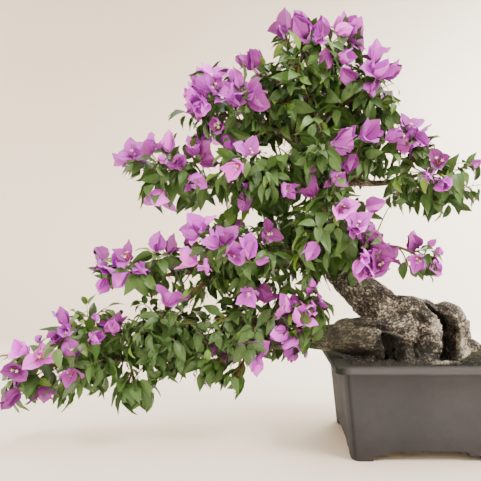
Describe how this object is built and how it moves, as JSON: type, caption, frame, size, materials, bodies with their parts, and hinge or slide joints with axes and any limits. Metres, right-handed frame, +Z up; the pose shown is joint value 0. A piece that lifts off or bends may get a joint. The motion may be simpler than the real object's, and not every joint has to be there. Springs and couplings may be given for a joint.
{
  "type": "potted bougainvillea bonsai",
  "caption": "Cascading bougainvillea bonsai with a leaning trunk, layered leafy pads and pink bracts, in a square footed clay pot.",
  "frame": {"origin": "on the ground under the pot's feet, at the middle of the whole plant's bounding box seen from above", "axes": "+X from the crown's cascading tip towards the pot, +Y towards the back of the plant, +Z up"},
  "size_m": [0.9396, 0.4034, 0.8174],
  "materials": {
    "clay": "matte",
    "soil": "matte",
    "bark": "matte",
    "leaf": "satin",
    "bract": "matte",
    "blossom": "matte",
    "moss": "matte"
  },
  "bodies": {
    "root": {"pot": "clay", "soil": "soil", "trunk": "bark", "leader_left": "bark", "bough_low_left": "bark", "bough_mid_left": "bark", "bough_upper_left": "bark", "bough_high_left": "bark", "bough_top_right": "bark", "bough_right": "bark", "bough_low_right": "bark", "bough_back_low": "bark", "bough_back_right": "bark", "bough_back_left": "bark", "bough_back_top": "bark", "foliage_low_inner": "leaf", "foliage_low_middle": "leaf", "foliage_low_outer": "leaf", "foliage_low_tip": "leaf", "foliage_mid_inner": "leaf", "foliage_mid_outer": "leaf", "foliage_upper_inner": "leaf", "foliage_upper_outer": "leaf", "foliage_high_left": "leaf", "foliage_top_left": "leaf", "foliage_apex": "leaf", "foliage_top_right": "leaf", "foliage_right_inner": "leaf", "foliage_right_outer": "leaf", "foliage_front": "leaf", "foliage_front_upper": "leaf", "foliage_low_right": "leaf", "foliage_back_low": "leaf", "foliage_back_right": "leaf", "foliage_back_left": "leaf", "foliage_back_top": "leaf"}
  },
  "joints": []
}
